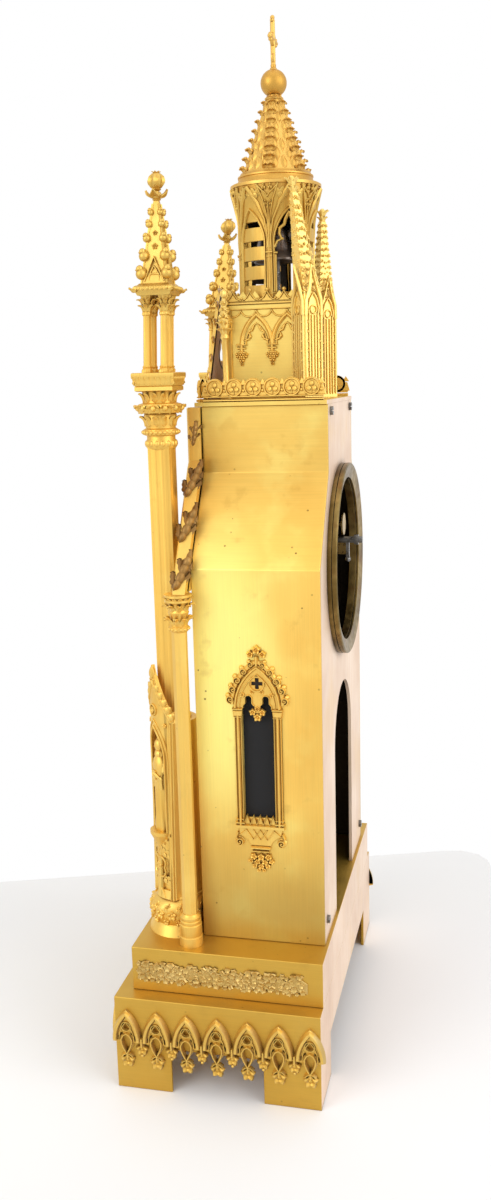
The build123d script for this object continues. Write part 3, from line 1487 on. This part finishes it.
FLY_LEAF_PHASE = meshed(PIN, PIN_TEETH, PIN_PHASE, FLY, FLY_PINION)

# Planes of the motion work, in front of the front plate
MOTION_BACK = PLATE_FRONT - 0.6
CANNON_Y = MOTION_BACK - WHEEL_T
HOUR_Y = CANNON_Y - WHEEL_T - 0.6
HAND_T = 0.8
HOUR_HAND_Y = dial_front() - 2.0
MINUTE_HAND_Y = HOUR_HAND_Y - 2.2
HOUR_PIPE_R = 2.4


def make_second_wheel():
    """The going train's second arbor: pinion on the barrel, wheel on the centre pinion."""
    leaf_r = pinion_r(GREAT_R, GREAT_TEETH, BARREL_PINION)
    leaves = pinion(SECOND, BARREL_PINION, leaf_r, PLANE_GREAT - 0.3, PINION_L - 0.4, SECOND_LEAF_PHASE)
    return arbor(SECOND) + [wheel(SECOND, SECOND_TEETH, SECOND_R, PLANE_A, SECOND_PHASE), leaves]


def make_centre_wheel():
    """The centre arbor: pinion, centre wheel, and a pipe to the front with the cannon pinion and minute hand's seat."""
    x, z = CENTRE
    leaf_r = pinion_r(SECOND_R, SECOND_TEETH, CENTRE_PINION)
    leaves = pinion(CENTRE, CENTRE_PINION, leaf_r, PLANE_A - 0.3, PINION_L - 0.4, CENTRE_LEAF_PHASE)
    cannon_r = MOTION_DROP * CANNON_TEETH / (CANNON_TEETH + MINUTE_TEETH)
    cannon = pinion(CENTRE, CANNON_TEETH, cannon_r, CANNON_Y - 0.2, WHEEL_T + 0.4, CANNON_PHASE)
    shaft = spindle(x, z, MINUTE_HAND_Y, GAP_1 - CLEAR, CENTRE_R)
    tail = spindle(x, z, GAP_1 - CLEAR, PLATE_BACK, PIVOT_R)
    return shaft + [tail, leaves, cannon, wheel(CENTRE, CENTRE_TEETH, CENTRE_WHEEL_R, PLANE_C, CENTRE_PHASE)]


def make_third_wheel():
    """The third arbor."""
    leaf_r = pinion_r(CENTRE_WHEEL_R, CENTRE_TEETH, THIRD_PINION)
    leaves = pinion(THIRD, THIRD_PINION, leaf_r, PLANE_C - 0.3, PINION_L - 0.4, THIRD_LEAF_PHASE)
    return arbor(THIRD) + [leaves, wheel(THIRD, THIRD_TEETH, THIRD_R, PLANE_B, THIRD_PHASE, 2.0)]


def make_escape_wheel():
    """The escape arbor: pinion at the third wheel, and a wheel of sharp teeth near the back plate."""
    leaf_r = pinion_r(THIRD_R, THIRD_TEETH, ESCAPE_PINION)
    leaves = pinion(ESCAPE, ESCAPE_PINION, leaf_r, PLANE_B - 0.3, PINION_L - 0.4, ESCAPE_LEAF_PHASE)
    x, z = ESCAPE
    points = []
    step = 2 * math.pi / ESCAPE_TEETH
    for k in range(ESCAPE_TEETH):
        for r, share in ((ESCAPE_R * 0.84, 0.0), (ESCAPE_R, 0.62), (ESCAPE_R, 0.74), (ESCAPE_R * 0.84, 0.8)):
            angle = (k + share) * step
            points.append((x + r * math.cos(angle), z + r * math.sin(angle)))
    face = crossed(polygon(*points), x, z, ESCAPE_R * 0.78, 2.0)
    return arbor(ESCAPE, radius=leaf_r * 0.75) + [leaves, plane_slice(face, PLANE_ESCAPE, 0.9)]


def make_minute_wheel():
    """The motion work's minute wheel and pinion, on a stud in the front plate."""
    wheel_r = MOTION_DROP * MINUTE_TEETH / (CANNON_TEETH + MINUTE_TEETH)
    leaf_r = MOTION_DROP * MINUTE_PINION / (MINUTE_PINION + HOUR_TEETH)
    leaves = pinion(MINUTE, MINUTE_PINION, leaf_r, HOUR_Y - 0.2, WHEEL_T + 0.8, MINUTE_LEAF_PHASE)
    stud = spindle(*MINUTE, HOUR_Y - 0.2, GAP_0, PIVOT_R)
    return wheel(MINUTE, MINUTE_TEETH, wheel_r, CANNON_Y, MINUTE_PHASE, 3.4) + [leaves, stud]


def make_hour_wheel():
    """The hour wheel on its pipe, which turns on the centre arbor."""
    radius = MOTION_DROP * HOUR_TEETH / (MINUTE_PINION + HOUR_TEETH)
    x, z = CENTRE
    plate = wheel(CENTRE, HOUR_TEETH, radius, HOUR_Y, HOUR_PHASE, HOUR_PIPE_R + 0.8)
    pipe = spindle(x, z, HOUR_HAND_Y, HOUR_Y + WHEEL_T, HOUR_PIPE_R)
    return plate + pipe - spindle(x, z, HOUR_HAND_Y, HOUR_Y + WHEEL_T, CENTRE_R + RUN)


def hand_face(length, width, hub, bore, turn):
    """A pierced hand with a ring near its end, turned clockwise from twelve."""
    body = [
        polygon((-width * 0.35, 0), (width * 0.35, 0), (width * 0.22, length * 0.62), (-width * 0.22, length * 0.62)),
        disc(0, length * 0.68, width),
        polygon((-width * 0.5, length * 0.74), (width * 0.5, length * 0.74), (0, length)),
    ]
    face = disc(0, 0, hub) + body - disc(0, length * 0.68, width * 0.55) - disc(0, 0, bore)
    return Pos(CENTRE[0], CENTRE[1]) * Rot(0, 0, -turn) * face


def make_minute_hand():
    """The minute hand, pressed on the centre arbor's end."""
    face = hand_face(DIAL_R * 0.84, 2.3, 3.0, CENTRE_R, MINUTE_AT * 6)
    return across(face, MINUTE_HAND_Y, MINUTE_HAND_Y + HAND_T)


def make_hour_hand():
    """The hour hand, pressed on the hour pipe."""
    face = hand_face(DIAL_R * 0.56, 2.7, 4.0, HOUR_PIPE_R, (HOUR_AT + MINUTE_AT / 60) * 30)
    return across(face, HOUR_HAND_Y, HOUR_HAND_Y + HAND_T)


def make_count_wheel():
    """The strike train's second arbor, with the notched count wheel behind the back plate."""
    x, z = STRIKE_ARBOR
    leaf_r = pinion_r(GREAT_R, GREAT_TEETH, BARREL_PINION)
    leaves = pinion(STRIKE_ARBOR, BARREL_PINION, leaf_r, PLANE_STRIKE - 0.3, PINION_L - 0.4, STRIKE_LEAF_PHASE)
    plate = wheel(STRIKE_ARBOR, STRIKE_TEETH, STRIKE_R, PLANE_A, STRIKE_WHEEL_PHASE)
    shaft = spindle(x, z, GAP_0 + CLEAR, GAP_1 - CLEAR, CENTRE_R + 0.3)
    tail = spindle(x, z, GAP_1 - CLEAR, PLATE_BACK + 2.4, CENTRE_R)
    tip = spindle(x, z, PLATE_FRONT, GAP_0 + CLEAR, PIVOT_R)
    notches = []
    total = 90
    blows = 0
    for hour in range(1, 13):
        blows += hour + 1
        angle = 2 * math.pi * blows / total
        notches.append(disc(x + COUNT_R * math.cos(angle), z + COUNT_R * math.sin(angle), 0.9))
    disc_face = crossed(disc(x, z, COUNT_R) - notches, x, z, COUNT_R - 2.4, 3.0)
    count = plane_slice(disc_face, PLATE_BACK + 0.8, 1.2)
    return shaft + [tail, tip, leaves, plate, count]


def make_pin_wheel():
    """The pin wheel, whose pins lift the hammer's lever."""
    leaf_r = pinion_r(STRIKE_R, STRIKE_TEETH, PIN_PINION)
    leaves = pinion(PIN, PIN_PINION, leaf_r, PLANE_A - 0.3, PINION_L - 0.4, PIN_LEAF_PHASE)
    x, z = PIN
    pins = []
    for i in range(8):
        angle = math.radians(45 * i + 22.5)
        reach = PIN_WHEEL_R * 0.78
        pins.append(spindle(x + reach * math.cos(angle), z + reach * math.sin(angle), PLANE_C, PLANE_C + 3.4, 0.5))
    return arbor(PIN) + [leaves, wheel(PIN, PIN_TEETH, PIN_WHEEL_R, PLANE_C, PIN_PHASE, 2.0), *pins]


def make_fly():
    """The fly: a pinion and a broad vane that slows the strike."""
    leaf_r = pinion_r(PIN_WHEEL_R, PIN_TEETH, FLY_PINION)
    leaves = pinion(FLY, FLY_PINION, leaf_r, PLANE_C - 0.3, PINION_L - 0.4, FLY_LEAF_PHASE)
    x, z = FLY
    vane = block(x - FLY_REACH, x + FLY_REACH, GAP_0 + 13.0, GAP_0 + 25.0, z - 0.4, z + 0.4)
    return arbor(FLY) + [leaves, vane]


def make_anchor():
    """The anchor on its arbor, with a crutch behind the back plate whose pin leads the pendulum."""
    x, z = ANCHOR
    inner = ESCAPE_R + ANCHOR_GAP
    ring = disc(*ESCAPE, inner + ANCHOR_BAND) - disc(*ESCAPE, inner)
    wedge = polygon(ESCAPE, (ESCAPE[0] + 30, ESCAPE[1] + 19), (ESCAPE[0] - 30, ESCAPE[1] + 19))
    hub = disc(x, z, ANCHOR_RISE - inner - 0.1)
    pallets = plane_slice((ring & wedge) + hub, PLANE_ESCAPE - 0.3, 1.5)
    crutch_y = PLATE_BACK + 3.2
    shaft = spindle(x, z, GAP_0 + CLEAR, GAP_1 - CLEAR, ARBOR_R)
    thin = spindle(x, z, PLATE_FRONT, crutch_y + 3.0, PIVOT_R)
    blade = plane_slice(bar(x - 1.1, x + 1.1, z - CRUTCH_L, z) + disc(x, z, 2.0), crutch_y, 1.2)
    tines = []
    for side in (-1, 1):
        tine_x = x + side * (ROD_R + CLEAR + 0.7)
        tines.append(spindle(tine_x, z - CRUTCH_L + 1.5, crutch_y, PENDULUM_Y + ROD_R + 0.6, 0.7))
    yoke = plane_slice(bar(x - ROD_R - 1.7, x + ROD_R + 1.7, z - CRUTCH_L, z - CRUTCH_L + 3), crutch_y, 1.2)
    return pallets + [shaft, thin, blade, yoke, *tines]


COCK_Y = PLATE_BACK + 5.2
COCK_T = 3.0
DISC_R = 6.6
DISC_T = 1.0


def make_back_cock():
    """The bridge behind the back plate: a bearing for the anchor, the pendulum's pin, and a leg for the rod."""
    x, z = ANCHOR
    leg_z = DIAL_Z + REGULATOR_RISE
    wide = 14.0
    face = bar(x - wide, x + wide, z - 3.5, z + 3.5) + bar(-13.0, -5.0, leg_z - 5, z)
    face -= disc(x, z, PIVOT_R + RUN)
    face -= disc(REGULATOR_X, leg_z, REGULATOR_R + RUN)
    bridge = plane_slice(face, COCK_Y, COCK_T)
    feet = [block(x + s * 11 - 3, x + s * 11 + 3, PLATE_BACK, COCK_Y, z - 3.5, z + 3.5) for s in (-1, 1)]
    pin_y = COCK_Y + COCK_T
    pin = spindle(x, z, pin_y, PENDULUM_Y + 3.5, PIN_R + 0.4)
    wall = plane_slice(disc(x, z, 3.4), pin_y, 0.8)
    disc_z = leg_z + DISC_R + REGULATOR_R + 0.9
    stem = spindle(REGULATOR_X, disc_z, pin_y, CASE_BACK - 0.6, 1.4)
    polished = spindle(REGULATOR_X, disc_z, CASE_BACK - 0.6, CASE_BACK - 0.6 + DISC_T, DISC_R)
    return bridge + [*feet, pin, wall, stem, polished]


def make_regulator_rod():
    """The rod that reaches out of the back, with a collar and a lever."""
    x = REGULATOR_X
    z = DIAL_Z + REGULATOR_RISE
    rod = spindle(x, z, COCK_Y - 1.0, REGULATOR_END, REGULATOR_R)
    collar = spindle(x, z, REGULATOR_END - 5.0, REGULATOR_END - 2.4, REGULATOR_R + 1.1)
    lever_y = CASE_BACK + 1.6
    lever = plane_slice(bar(x - 1.3, x + 1.3, z - 12.0, z), lever_y, 1.8)
    knob = Pos(x, lever_y + 0.9, z - 12.0) * Sphere(1.7)
    stop = spindle(x, z, COCK_Y + COCK_T + CLEAR, COCK_Y + COCK_T + 2.0, REGULATOR_R + 0.9)
    return rod + [collar, lever, knob, stop]


def make_pendulum_rod():
    """The pendulum's rod, hung by an eye on the cock's pin."""
    x, z = ANCHOR
    eye = plane_slice(disc(x, z, 3.2) - disc(x, z, PIN_R + 0.4 + RUN), PENDULUM_Y - 1.2, 2.4)
    rod = post(x, PENDULUM_Y, z - PENDULUM_L - BOB_R - 6, z - 2.4, ROD_R)
    nut = post(x, PENDULUM_Y, z - PENDULUM_L - BOB_R - 4.0, z - PENDULUM_L - BOB_R, 3.2)
    return eye + [rod, nut]


def make_pendulum_bob():
    """A lens-shaped bob that slides on the rod and rests on its nut."""
    x, z = ANCHOR
    centre = z - PENDULUM_L
    half = BOB_T / 2
    lens = Pos(x, PENDULUM_Y, centre) * Rot(90, 0, 0) * turned(
        [
            (BOB_R * 0.55, -half),
            (BOB_R * 0.85, -half * 0.7),
            (BOB_R, -half * 0.2),
            (BOB_R, half * 0.2),
            (BOB_R * 0.85, half * 0.7),
            (BOB_R * 0.55, half),
        ]
    )
    return lens - post(x, PENDULUM_Y, centre - BOB_R, centre + BOB_R, ROD_R + RUN)


def build():
    """Every piece by its node's name."""
    side = make_side()
    return {
        "lower_plinth": make_lower_plinth(),
        "upper_plinth": make_upper_plinth(),
        "arcade_friezes": make_arcade_friezes(),
        "leaf_friezes": make_leaf_friezes(),
        "case_side_right": side,
        "case_side_left": flip(side),
        "case_front": make_case_front(),
        "case_back": make_case_back(),
        "case_top": make_case_top(),
        "case_screws": make_case_screws(),
        "gallery": make_gallery(),
        "window_frames": make_window_frames(),
        "dark_cloths": make_dark_cloths(),
        "portal_tracery": make_portal_tracery(),
        "piers": pair(make_pier()),
        "niches": pair(make_niche()),
        "statuettes": pair(make_statuette()),
        "tall_columns": pair(make_tall_column()),
        "tabernacles": pair(make_tabernacle()),
        "corner_pinnacles": pair(make_corner_pinnacle()),
        "slender_columns": pair(make_slender_column()),
        "raking_crests": pair(make_raking_crest()),
        "front_gable": make_front_gable(),
        "tower_box": make_tower_box(),
        "tower_pinnacles": make_tower_pinnacles(),
        "lantern": make_lantern(),
        "lantern_cornice": make_lantern_cornice(),
        "spire": make_spire(),
        "ball_and_cross": make_ball_and_cross(),
        "bell": make_bell(),
        "bell_post": make_bell_post(),
        "hammer": make_hammer(),
        "hammer_wire": make_hammer_wire(),
        "dial_ring": make_dial_ring(),
        "dial": make_dial(),
        "front_bezel": make_front_bezel(),
        "dial_glass": make_dial_glass(),
        "rear_ring": make_rear_ring(),
        "rear_bezel": make_rear_bezel(),
        "movement_straps": make_movement_straps(),
        "movement_plates": make_movement_plates(),
        "plate_pillars": make_plate_pillars(),
        "going_barrel": make_barrel(GOING, GOING_PHASE, PLANE_GREAT),
        "second_wheel": make_second_wheel(),
        "centre_wheel": make_centre_wheel(),
        "third_wheel": make_third_wheel(),
        "escape_wheel": make_escape_wheel(),
        "minute_wheel": make_minute_wheel(),
        "hour_wheel": make_hour_wheel(),
        "minute_hand": make_minute_hand(),
        "hour_hand": make_hour_hand(),
        "strike_barrel": make_barrel(STRIKE, STRIKE_PHASE, PLANE_STRIKE),
        "count_wheel": make_count_wheel(),
        "pin_wheel": make_pin_wheel(),
        "fly": make_fly(),
        "anchor": make_anchor(),
        "back_cock": make_back_cock(),
        "regulator_rod": make_regulator_rod(),
        "pendulum_rod": make_pendulum_rod(),
        "pendulum_bob": make_pendulum_bob(),
    }


os.makedirs("parts", exist_ok=True)
for name, shape in build().items():
    export_step(shape, f"parts/{name}.step")
